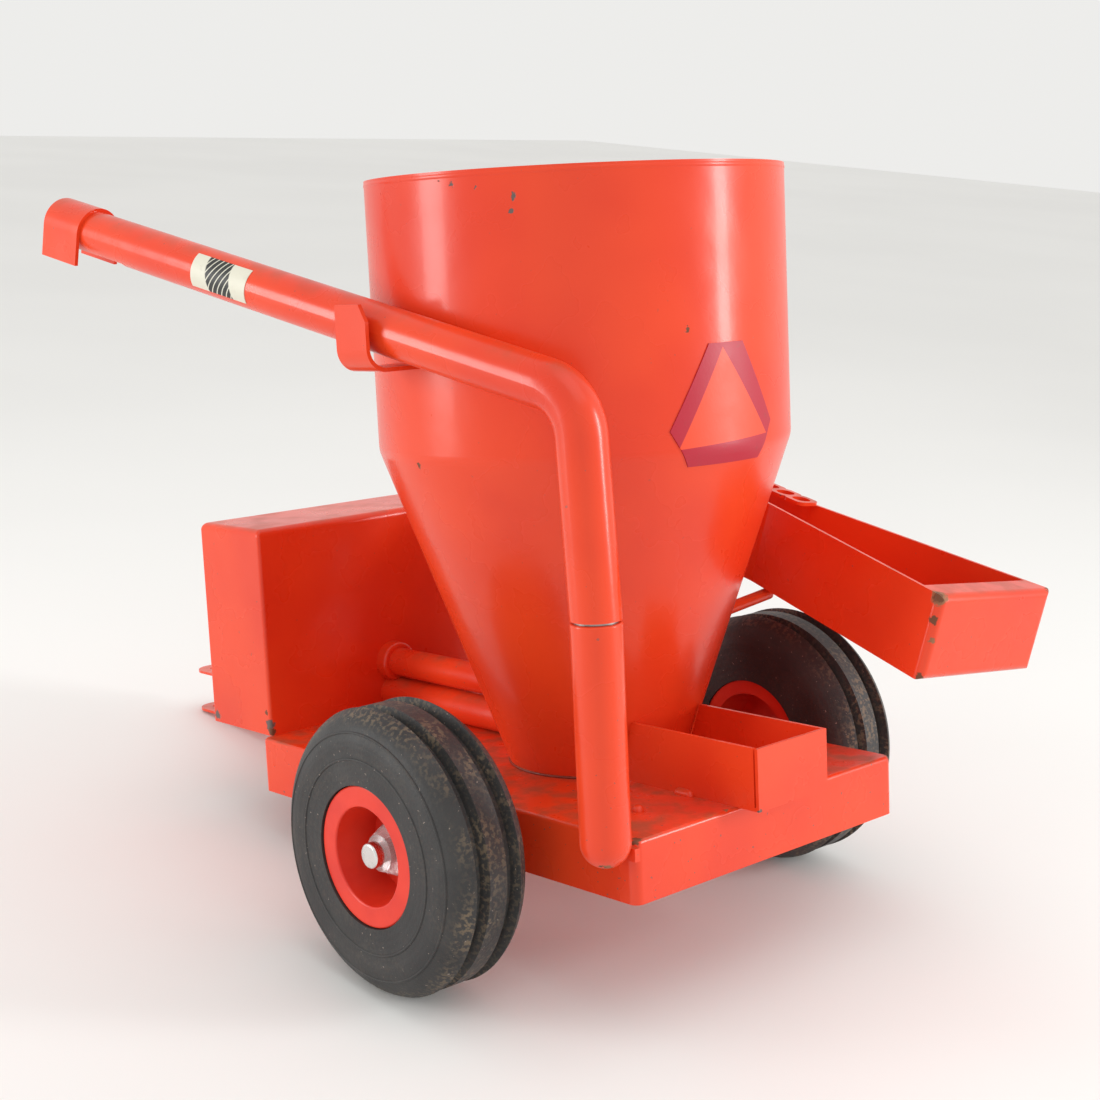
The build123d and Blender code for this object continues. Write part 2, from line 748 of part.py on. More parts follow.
mill_len = mill_front - mill_rear
mill_wide = mill_inner_y - mill_outer_y
with BuildPart() as mill_room:
    with BuildSketch(Plane(origin=at(mill_mid_x, mill_mid_y, 0))):
        Rectangle(mill_len - 2 * mill_sheet, mill_wide - 2 * mill_sheet)
    extrude(amount=2 * housing_h)
    split(bisect_by=plate_under.offset(-mill_sheet), keep=Keep.BOTTOM)

with BuildPart() as mill_housing:
    with BuildSketch(Plane(origin=at(mill_mid_x, mill_mid_y, 0))):
        Rectangle(mill_len, mill_wide)
    extrude(amount=2 * housing_h)
    split(bisect_by=plate_under, keep=Keep.BOTTOM)
    fillet(mill_housing.edges().filter_by(Axis.Z), 1.5)
    add(mill_room.part, mode=Mode.SUBTRACT)
    with BuildSketch(plate_under):
        with Locations(seat_a, seat_b):
            Circle(drawbar_rivet_r)
    extrude(amount=-2 * mill_sheet, mode=Mode.SUBTRACT)
save(mill_housing.part, "mill_housing")

with BuildPart() as mill_rivets:
    with BuildSketch(plate_under.offset(bracket_plate_t)):
        with Locations(seat_a, seat_b):
            Circle(1.8 * drawbar_rivet_r)
    extrude(amount=rivet_head_t)
    with BuildSketch(plate_under.offset(-2 * mill_sheet)):
        with Locations(seat_a, seat_b):
            Circle(drawbar_rivet_r)
    extrude(amount=2 * mill_sheet + bracket_plate_t)
save(mill_rivets.part, "mill_rivets")

# rod that props the folded trough, standing out and up from the cone's right side
rod_dir = Vector(0, -cos(radians(rod_rise)), sin(radians(rod_rise)))
rod_up = rod_dir.cross(Vector(1, 0, 0))
rod_tip_floor = Vector(*at(rod_x, rod_end_y, 0))
rod_tip_floor += Vector(0, 0, (feeder_pivot - rod_tip_floor).dot(feeder_up) / feeder_up.Z)
rod_tip = rod_tip_floor - Vector(0, 0, rod_gap) - rod_up * rod_r

with BuildPart() as feeder_support_rod:
    with BuildSketch(Plane(origin=rod_tip, x_dir=(1, 0, 0), z_dir=-rod_dir)):
        Circle(rod_r)
    extrude(amount=-rod_end_y)
    fillet(feeder_support_rod.edges().group_by(Axis.Y)[0], rod_r / 3)
    add(tank_solid, mode=Mode.SUBTRACT)
    split(bisect_by=Plane(origin=at(0, 0, 0), z_dir=(0, -1, 0)), keep=Keep.TOP)
save(feeder_support_rod.part, "feeder_support_rod")

# ---------------------------------------------------------------- axle and wheels
with BuildPart() as axle:
    with Locations(Location(at(axle_x, 0, axle_z), (90, 0, 0))):
        Cylinder(axle_r, 2 * (cap_face_y - 0.8))
save(axle.part, "axle")


def wheel_plane(side):
    """Plane through the axle's line: x up from the axle, y outwards on the given side."""
    forward = Vector(0, 0, 1).cross(Vector(0, side, 0))
    return Plane(origin=at(axle_x, 0, axle_z), x_dir=(0, 0, 1), z_dir=forward)


axle_line = Axis(at(axle_x, 0, axle_z), (0, 1, 0))
web_y = rim_face_y - rim_recess_depth
bore_r = axle_r + axle_fit
tyre_in_y = wheel_centre_y - tyre_w / 2
tyre_out_y = wheel_centre_y + tyre_w / 2
sidewall_r = tyre_r - tyre_shoulder_r


def wheel_rim(side):
    """Moulded rim: an open dish outside, a web with a hub, and a flange over the tyre."""
    with BuildPart() as rim:
        with BuildSketch(wheel_plane(side)):
            with BuildLine():
                Polyline(
                    (bore_r, wheel_inner_y),
                    (rim_hub_r, wheel_inner_y),
                    (rim_hub_r, web_y - rim_web),
                    (rim_recess_r - 0.4, web_y - rim_web),
                    (rim_recess_r + 1.4, wheel_inner_y),
                    (rim_r, wheel_inner_y),
                    (rim_r, wheel_inner_y + 1.0),
                    (rim_seat_r, wheel_inner_y + 1.4),
                    (rim_seat_r, rim_face_y - 1.4),
                    (rim_r, rim_face_y - 1.0),
                    (rim_r, rim_face_y),
                    (rim_recess_r, rim_face_y),
                    (rim_recess_r - 1.0, web_y),
                    (bore_r, web_y),
                    close=True,
                )
            make_face()
        revolve(axis=axle_line)
        face_edges = rim.edges().filter_by(GeomType.CIRCLE).group_by(Axis.Y)[-1 if side > 0 else 0]
        fillet(face_edges, 0.5)
    return rim.part


def tyre(side):
    """Three-ribbed tyre with flat side walls, seated on the rim."""
    left_g = wheel_centre_y - groove_y
    right_g = wheel_centre_y + groove_y
    floor_r = tyre_r - groove_depth
    with BuildPart() as ring:
        with BuildSketch(wheel_plane(side)):
            with BuildLine():
                Polyline(
                    (sidewall_r, tyre_in_y),
                    (rim_r + 0.1, tyre_in_y + 0.3),
                    (rim_r + 0.1, wheel_inner_y + 1.0),
                    (rim_seat_r, wheel_inner_y + 1.4),
                    (rim_seat_r, rim_face_y - 1.4),
                    (rim_r + 0.1, rim_face_y - 1.0),
                    (rim_r + 0.1, tyre_out_y - 0.3),
                    (sidewall_r, tyre_out_y),
                )
                shoulder_y = right_g + groove_half_w
                TangentArc((sidewall_r, tyre_out_y), (tyre_r, shoulder_y), tangent=(1, 0))
                Polyline(
                    (tyre_r, shoulder_y),
                    (floor_r, right_g + 0.5 * groove_half_w),
                    (floor_r, right_g - 0.5 * groove_half_w),
                    (tyre_r - 0.2, right_g - groove_half_w),
                    (tyre_r - 0.2, left_g + groove_half_w),
                    (floor_r, left_g + 0.5 * groove_half_w),
                    (floor_r, left_g - 0.5 * groove_half_w),
                    (tyre_r, left_g - groove_half_w),
                )
                TangentArc((sidewall_r, tyre_in_y), (tyre_r, left_g - groove_half_w), tangent=(1, 0))
            make_face()
        revolve(axis=axle_line)
    return ring.part


def axle_cap(side):
    """Bright domed cap pushed on the axle's end."""
    with BuildPart() as cap:
        with BuildSketch(wheel_plane(side)):
            with Locations((cap_r / 2, cap_face_y - cap_t / 2)):
                Rectangle(cap_r, cap_t)
            with Locations((axle_r / 2, cap_face_y - 0.8 - cap_t / 2)):
                Rectangle(axle_r, cap_t, mode=Mode.SUBTRACT)
        revolve(axis=axle_line)
        outer = cap.edges().filter_by(GeomType.CIRCLE).group_by(Axis.Y)[-1 if side > 0 else 0]
        fillet(outer, 0.6)
    return cap.part


def hub_retainer(side):
    """Clear moulded cup that holds the wheel on behind the cap."""
    back_y = web_y + wheel_play
    front_y = cap_face_y - cap_t
    with BuildPart() as cup:
        with BuildSketch(wheel_plane(side)):
            with BuildLine():
                Polyline(
                    (axle_r, back_y + 1.0),
                    (retainer_r - 2.2 * retainer_wall, back_y + 1.0),
                    (retainer_r - retainer_wall, back_y),
                    (retainer_r, back_y),
                    (cap_r + 1.4, front_y - 0.8),
                    (cap_r, front_y),
                    (axle_r, front_y),
                    close=True,
                )
            make_face()
        revolve(axis=axle_line)
    return cup.part


def axle_spacer(side):
    """Sleeve between the deck's side and the hub."""
    with BuildPart() as sleeve:
        with BuildSketch(wheel_plane(side)):
            length = wheel_inner_y - wheel_play - deck_half_w
            with Locations(((axle_r + rim_hub_r) / 2, deck_half_w + length / 2)):
                Rectangle(rim_hub_r - axle_r, length)
        revolve(axis=axle_line)
    return sleeve.part


for side, side_name in ((1, "left"), (-1, "right")):
    save(wheel_rim(side), f"wheel_rim_{side_name}")
    save(tyre(side), f"tyre_{side_name}")
    save(axle_cap(side), f"axle_cap_{side_name}")
    save(hub_retainer(side), f"hub_retainer_{side_name}")
    save(axle_spacer(side), f"axle_spacer_{side_name}")

# ---------------------------------------------------------------- rear emblem
emblem_angle = radians(180 - emblem_turn)
emblem_dir = Vector(cos(emblem_angle), sin(emblem_angle), 0)
emblem_plane = Plane(
    origin=at(0, 0, emblem_z), x_dir=Vector(0, 0, 1).cross(emblem_dir), z_dir=emblem_dir
)

with BuildPart() as rear_emblem:
    with BuildSketch(emblem_plane):
        with BuildLine():
            Polyline(
                (-emblem_foot_half_w, 0),
                (emblem_foot_half_w, 0),
                (emblem_half_w, emblem_corner_h),
                (emblem_tip_half_w, emblem_h),
                (-emblem_tip_half_w, emblem_h),
                (-emblem_half_w, emblem_corner_h),
                close=True,
            )
        make_face()
    extrude(amount=2 * tank_r)
    add(tank_shape(emblem_t, 0.0), mode=Mode.INTERSECT)
    add(tank_solid, mode=Mode.SUBTRACT)
save(rear_emblem.part, "rear_emblem")
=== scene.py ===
"""Looks of a pressed-steel toy feed grinder-mixer: finishes, small made pieces, floor and light.

Lengths are in metres in the model's own frame: +X runs forwards past the hitch, +Y to the left
side and +Z up.
"""
import logging
from dataclasses import dataclass
from enum import Enum
from math import asin, atan2, cos, hypot, pi, radians, sin

import bpy
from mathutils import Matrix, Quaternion, Vector

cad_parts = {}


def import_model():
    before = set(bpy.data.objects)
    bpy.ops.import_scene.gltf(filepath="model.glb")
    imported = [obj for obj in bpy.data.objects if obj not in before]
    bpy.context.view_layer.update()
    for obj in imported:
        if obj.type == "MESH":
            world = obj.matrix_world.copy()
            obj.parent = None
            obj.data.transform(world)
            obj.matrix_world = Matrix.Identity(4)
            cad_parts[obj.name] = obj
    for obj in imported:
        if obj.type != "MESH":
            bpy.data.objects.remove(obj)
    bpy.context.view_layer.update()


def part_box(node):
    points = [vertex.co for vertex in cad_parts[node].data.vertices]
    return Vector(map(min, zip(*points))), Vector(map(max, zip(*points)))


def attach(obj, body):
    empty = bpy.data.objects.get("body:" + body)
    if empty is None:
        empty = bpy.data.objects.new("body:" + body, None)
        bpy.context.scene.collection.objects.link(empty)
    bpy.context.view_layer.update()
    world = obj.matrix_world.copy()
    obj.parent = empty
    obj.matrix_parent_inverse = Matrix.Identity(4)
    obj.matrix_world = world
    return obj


LOG = logging.getLogger("grinder_mixer")
MM = 0.001
PLASTIC_IOR = 1.47
SMOOTH_ANGLE = radians(50)

Colour = tuple[float, float, float]
Socket = bpy.types.NodeSocket
Source = Socket | float | Vector | tuple[float, ...]


# ---------------------------------------------------------------- finishes
class Shade:
    """One material's node tree, with short calls for the nodes that it needs."""

    def __init__(self, name: str) -> None:
        """Starts a material.

        Args:
            name: the material's name.
        """
        self.material = bpy.data.materials.new(name)
        self.material.use_nodes = True
        self.nodes = self.material.node_tree.nodes
        self.links = self.material.node_tree.links
        self.shader = self.nodes["Principled BSDF"]
        self.coords = self.nodes.new("ShaderNodeTexCoord").outputs["Object"]

    def feed(self, socket: Socket, source: Source) -> None:
        """Links a socket to a source, or sets its value.

        Args:
            socket: the input to feed.
            source: another node's output, or a plain value.
        """
        if isinstance(source, bpy.types.NodeSocket):
            self.links.new(source, socket)
        else:
            socket.default_value = source

    def math(self, operation: str, first: Source, second: Source = 0.0) -> Socket:
        """A Math node.

        Args:
            operation: Blender's name of the operation.
            first: the first number.
            second: the second number.

        Returns:
            The result's socket.
        """
        node = self.nodes.new("ShaderNodeMath")
        node.operation = operation
        self.feed(node.inputs[0], first)
        self.feed(node.inputs[1], second)
        return node.outputs[0]

    def vector(self, operation: str, first: Source, second: Source) -> bpy.types.Node:
        """A Vector Math node.

        Args:
            operation: Blender's name of the operation.
            first: the first vector.
            second: the second vector.

        Returns:
            The node, whose Vector or Value output is read.
        """
        node = self.nodes.new("ShaderNodeVectorMath")
        node.operation = operation
        self.feed(node.inputs[0], first)
        self.feed(node.inputs[1], second)
        return node

    def dot(self, direction: Vector, origin: Vector) -> Socket:
        """Distance from an origin along a direction, in metres.

        Args:
            direction: unit vector to measure along.
            origin: where the distance is nought.

        Returns:
            The distance's socket.
        """
        from_origin = self.vector("SUBTRACT", self.coords, origin).outputs["Vector"]
        return self.vector("DOT_PRODUCT", from_origin, direction).outputs["Value"]

    def noise(self, grain: float, detail: float = 3.0, stretch: Colour = (1, 1, 1)) -> Socket:
        """Noise of a real size.

        Args:
            grain: size of one blotch, in metres.
            detail: how many finer layers it has.
            stretch: factors by which the pattern is squeezed along X, Y and Z.

        Returns:
            The noise's socket, about 0.5 on average.
        """
        node = self.nodes.new("ShaderNodeTexNoise")
        scaled = self.vector("MULTIPLY", self.coords, stretch).outputs["Vector"]
        self.feed(node.inputs["Vector"], scaled)
        node.inputs["Scale"].default_value = 1 / grain
        node.inputs["Detail"].default_value = detail
        return node.outputs["Fac"]

    def between(self, source: Source, low: float, high: float) -> Socket:
        """A smooth step from 0 at low to 1 at high.

        Args:
            source: the number to test.
            low: where the step starts.
            high: where it ends, which may be less than low.

        Returns:
            The step's socket.
        """
        node = self.nodes.new("ShaderNodeMapRange")
        node.interpolation_type = "SMOOTHSTEP"
        self.feed(node.inputs["Value"], source)
        if low < high:
            node.inputs["From Min"].default_value = low
            node.inputs["From Max"].default_value = high
            return node.outputs["Result"]
        node.inputs["From Min"].default_value = high
        node.inputs["From Max"].default_value = low
        node.inputs["To Min"].default_value = 1.0
        node.inputs["To Max"].default_value = 0.0
        return node.outputs["Result"]

    def blend(self, amount: Source, under: Source, over: Source) -> Socket:
        """One colour laid over another.

        Args:
            amount: 0 shows the under colour, 1 the over colour.
            under: the first colour.
            over: the second colour.

        Returns:
            The colour's socket.
        """
        node = self.nodes.new("ShaderNodeMix")
        node.data_type = "RGBA"
        self.feed(node.inputs[0], amount)
        for socket, colour in ((node.inputs[6], under), (node.inputs[7], over)):
            plain = not isinstance(colour, bpy.types.NodeSocket)
            self.feed(socket, (*colour, 1.0) if plain else colour)
        return node.outputs[2]

    def level(self, source: Source, low: float, high: float) -> Socket:
        """Maps 0 to 1 onto a range.

        Args:
            source: a number from 0 to 1.
            low: the result at 0.
            high: the result at 1.

        Returns:
            The result's socket.
        """
        return self.math("ADD", self.math("MULTIPLY", source, high - low), low)

    def upwards(self) -> Socket:
        """How far the surface faces up, from -1 to 1."""
        normal = self.nodes.new("ShaderNodeNewGeometry").outputs["Normal"]
        return self.vector("DOT_PRODUCT", normal, (0, 0, 1)).outputs["Value"]

    def bump(self, height: Source, depth: float) -> None:
        """Gives the surface a relief.

        Args:
            height: a number from 0 to 1.
            depth: the relief's depth, in metres.
        """
        node = self.nodes.new("ShaderNodeBump")
        node.inputs["Distance"].default_value = depth
        self.feed(node.inputs["Height"], height)
        self.feed(self.shader.inputs["Normal"], node.outputs["Normal"])

    def set(self, **values: Source) -> bpy.types.Material:
        """Feeds the shader's sockets.

        Args:
            values: a source for each socket, named with underscores for spaces.

        Returns:
            The finished material.
        """
        for name, source in values.items():
            wanted = name.replace("_", " ").lower()
            socket = next(s for s in self.shader.inputs if s.name.lower() == wanted)
            self.feed(socket, source)
        return self.material


class Tone(Enum):
    """Colours of what shows where the enamel is gone."""

    STEEL = (0.13, 0.10, 0.09)
    RUST = (0.16, 0.055, 0.022)
    SCUFF = (0.30, 0.13, 0.06)
    PALE = (0.45, 0.36, 0.30)


@dataclass(frozen=True)
class Mark:
    """A chip or scuff in the enamel."""

    place: Vector
    radius: float
    tone: Tone


@dataclass(frozen=True)
class Enamel:
    """Gloss orange-red enamel over pressed steel."""

    colour: Colour = (0.830, 0.060, 0.013)
    deep: Colour = (0.740, 0.040, 0.010)
    dust: Colour = (0.300, 0.085, 0.040)
    shine: float = 0.26
    cloud_size: float = 38 * MM
    speck_size: float = 1.1 * MM
    speck_strength: float = 0.8
    patch_size: float = 7 * MM
    chip_edge_size: float = 1.1 * MM
    chip_edge_reach: float = 3.2 * MM
    ripple_size: float = 9 * MM
    peel_size: float = 1.3 * MM
    smear_size: float = 16 * MM
    relief: float = 0.22 * MM

    def base(self, shade: Shade, speckle: float) -> Socket:
        """The paint's own colour, with deeper clouds and pinhead specks.

        Args:
            shade: the material's node tree.
            speckle: how many specks there are, from 0 to 1.

        Returns:
            The colour's socket.
        """
        cloud = shade.between(shade.noise(self.cloud_size, 2.0), 0.35, 0.75)
        colour = shade.blend(cloud, self.colour, self.deep)
        speck = shade.noise(self.speck_size, 1.0)
        speck = shade.between(speck, 0.80 - 0.06 * speckle, 0.83 - 0.06 * speckle)
        speck = shade.math("MULTIPLY", speck, self.speck_strength * speckle)
        return shade.blend(speck, colour, Tone.STEEL.value)

    def film(self, shade: Shade, dusty: float) -> Socket:
        """Patches of dust on what faces up.

        Args:
            shade: the material's node tree.
            dusty: how much dust there is, from 0 to 1.

        Returns:
            The dust's strength.
        """
        film = shade.between(shade.upwards(), 0.35, 0.95)
        patches = shade.between(shade.noise(self.patch_size, 5.0), 0.38, 0.72)
        return shade.math("MULTIPLY", shade.math("MULTIPLY", film, patches), dusty)

    def material(
        self, name: str, marks: list[Mark], dusty: float, speckle: float
    ) -> bpy.types.Material:
        """Makes the enamel for one piece.

        Args:
            name: the material's name.
            marks: chips and scuffs on this piece.
            dusty: how much dust lies on what faces up, from 0 to 1.
            speckle: how many pinhead specks there are, from 0 to 1.

        Returns:
            The material.
        """
        shade = Shade(name)
        colour = self.base(shade, speckle)
        film = self.film(shade, dusty)
        colour = shade.blend(film, colour, self.dust)
        bare = shade.math("MULTIPLY", film, 0.6)
        ragged = shade.math("SUBTRACT", shade.noise(self.chip_edge_size, 5.0), 0.42)
        ragged = shade.math("MULTIPLY", ragged, self.chip_edge_reach)
        for mark in marks:
            away = shade.vector("DISTANCE", shade.coords, mark.place).outputs["Value"]
            away = shade.math("ADD", away, ragged)
            inside = shade.between(away, mark.radius, 0.72 * mark.radius)
            colour = shade.blend(inside, colour, mark.tone.value)
            bare = shade.math("MAXIMUM", bare, inside)
        ripple = shade.math("MULTIPLY", shade.noise(self.ripple_size, 1.0), 0.5)
        peel = shade.math("MULTIPLY", shade.noise(self.peel_size, 2.0), 0.06)
        peel = shade.math("ADD", ripple, peel)
        sunk = shade.math("MULTIPLY", bare, 0.25)
        shade.bump(shade.math("SUBTRACT", peel, sunk), self.relief)
        smear = shade.noise(self.smear_size, 3.0)
        rough = shade.level(smear, self.shine - 0.05, self.shine + 0.09)
        rough = shade.math("ADD", rough, shade.math("MULTIPLY", bare, 0.4))
        return shade.set(
            base_color=colour,
            roughness=rough,
            coat_weight=0.12,
            coat_roughness=0.10,
            specular_ior_level=0.40,
        )


@dataclass(frozen=True)
class Rubber:
    """Worn black rubber with dust on the tread."""

    colour: Colour = (0.030, 0.029, 0.029)
    faded: Colour = (0.044, 0.042, 0.041)
    dust: Colour = (0.190, 0.140, 0.090)
    fade_size: float = 14 * MM
    grain_size: float = 1.0 * MM
    drift_size: float = 12 * MM
    fleck_size: float = 0.8 * MM
    tooth_size: float = 0.7 * MM
    ring_pitch: float = 1.7 * MM
    relief: float = 0.10 * MM

    def material(self, name: str, centre: Vector, radius: float) -> bpy.types.Material:
        """Makes the rubber for one tyre.

        Args:
            name: the material's name.
            centre: the wheel's centre.
            radius: the tyre's radius.

        Returns:
            The material.
        """
        shade = Shade(name)
        from_hub = shade.vector("SUBTRACT", shade.coords, centre).outputs["Vector"]
        flat = shade.vector("MULTIPLY", from_hub, (1, 0, 1)).outputs["Vector"]
        reach = shade.vector("LENGTH", flat, (0, 0, 0)).outputs["Value"]
        tread = shade.between(reach, 0.90 * radius, 0.97 * radius)
        fade = shade.between(shade.noise(self.fade_size, 4.0), 0.35, 0.7)
        colour = shade.blend(fade, self.colour, self.faded)
        soil = shade.between(shade.noise(self.grain_size, 6.0), 0.46, 0.62)
        drift = shade.between(shade.noise(self.drift_size, 3.0), 0.30, 0.70)
        soil = shade.math("MULTIPLY", soil, drift)
        soil = shade.math("MULTIPLY", soil, shade.level(tread, 0.10, 0.95))
        colour = shade.blend(soil, colour, self.dust)
        fleck = shade.between(shade.noise(self.fleck_size, 2.0), 0.71, 0.76)
        colour = shade.blend(shade.math("MULTIPLY", fleck, 0.55), colour, Tone.PALE.value)
        rings = shade.math("SINE", shade.math("MULTIPLY", reach, 2 * pi / self.ring_pitch))
        rings = shade.math("MULTIPLY", rings, 0.10)
        shade.bump(shade.math("ADD", shade.noise(self.tooth_size, 4.0), rings), self.relief)
        rough = shade.level(shade.math("MAXIMUM", soil, shade.noise(9 * MM, 3.0)), 0.42, 0.70)
        return shade.set(base_color=colour, roughness=rough, specular_ior_level=0.42)


@dataclass(frozen=True)
class Moulding:
    """Moulded plastic, opaque or clear."""

    colour: Colour
    deep: Colour
    rough: float
    clear: float = 0.0

    def material(self, name: str) -> bpy.types.Material:
        """Makes the plastic.

        Args:
            name: the material's name.

        Returns:
            The material.
        """
        shade = Shade(name)
        cloud = shade.between(shade.noise(11 * MM, 3.0), 0.3, 0.7)
        colour = shade.blend(cloud, self.colour, self.deep)
        shade.bump(shade.noise(1.2 * MM, 3.0), 0.03 * MM)
        rough = shade.level(shade.noise(4 * MM, 4.0), self.rough - 0.05, self.rough + 0.10)
        return shade.set(
            base_color=colour, roughness=rough, transmission_weight=self.clear, ior=PLASTIC_IOR
        )


@dataclass(frozen=True)
class Metal:
    """Bare or plated steel with fine turning lines."""

    colour: Colour
    worn: Colour
    rough: float

    def material(self, name: str) -> bpy.types.Material:
        """Makes the metal.

        Args:
            name: the material's name.

        Returns:
            The material.
        """
        shade = Shade(name)
        lines = shade.noise(1.5 * MM, 5.0, (1.0, 9.0, 1.0))
        wear = shade.between(shade.noise(2.5 * MM, 4.0), 0.45, 0.8)
        colour = shade.blend(wear, self.colour, self.worn)
        shade.bump(lines, 0.02 * MM)
        rough = shade.level(lines, self.rough, self.rough + 0.18)
        return shade.set(base_color=colour, metallic=1.0, roughness=rough)


@dataclass(frozen=True)
class Sticker:
    """Printed vinyl or paper, with a fine tooth and handling marks over the print."""

    rough: float = 0.38
    grime: Colour = (0.16, 0.08, 0.05)

    def finish(self, shade: Shade, colour: Source) -> bpy.types.Material:
        """Lays a fine tooth and handling marks over the print.

        Args:
            shade: the sticker's node tree.
            colour: the print.

        Returns:
            The material.
        """
        marks = shade.between(shade.noise(2.6 * MM, 5.0), 0.60, 0.85)
        colour = shade.blend(shade.math("MULTIPLY", marks, 0.30), colour, self.grime)
        shade.bump(shade.noise(0.6 * MM, 2.0), 0.02 * MM)
        rough = shade.level(shade.noise(5 * MM, 3.0), self.rough - 0.06, self.rough + 0.10)
        return shade.set(base_color=colour, roughness=rough)


# ---------------------------------------------------------------- making
def middle(node: str) -> Vector:
    """Middle of a CAD node's box.

    Args:
        node: the node's name.

    Returns:
        The middle.
    """
    low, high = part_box(node)
    return (low + high) / 2


def corner(node: str, direction: Vector) -> Vector:
    """The vertex of a CAD node that lies furthest along a direction.

    Args:
        node: the node's name.
        direction: where to look.

    Returns:
        The vertex's place.
    """
    mesh = bpy.data.objects[node].data
    return max((v.co for v in mesh.vertices), key=lambda co: co.dot(direction)).copy()


def paint(node: str, material: bpy.types.Material) -> None:
    """Gives a CAD node its material.

    Args:
        node: the node's name.
        material: its finish.
    """
    mesh = bpy.data.objects[node].data
    mesh.materials.clear()
    mesh.materials.append(material)
    LOG.info("dressed %s", node)


def start_piece() -> None:
    """Deselects everything, so that an operator acts on the new piece alone."""
    if bpy.context.object and bpy.context.object.mode != "OBJECT":
        bpy.ops.object.mode_set(mode="OBJECT")
    bpy.ops.object.select_all(action="DESELECT")


def end_piece(name: str, body: str, material: bpy.types.Material) -> bpy.types.Object:
    """Names the new piece, puts its place into its mesh and hangs it on its body.

    Args:
        name: the piece's name.
        body: the CAD body that it moves with.
        material: its finish.

    Returns:
        The piece.
    """
    piece = bpy.context.object
    if piece.mode != "OBJECT":
        bpy.ops.object.mode_set(mode="OBJECT")
    bpy.ops.object.transform_apply(location=True, rotation=True, scale=True)
    bpy.ops.object.mode_set(mode="EDIT")
    bpy.ops.mesh.select_all(action="SELECT")
    bpy.ops.mesh.normals_make_consistent(inside=False)
    bpy.ops.object.mode_set(mode="OBJECT")
    bpy.ops.object.shade_smooth_by_angle(angle=SMOOTH_ANGLE)
    piece.name = name
    piece.data.name = name
    piece.data.materials.append(material)
    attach(piece, body)
    LOG.info("made %s", name)
    return piece


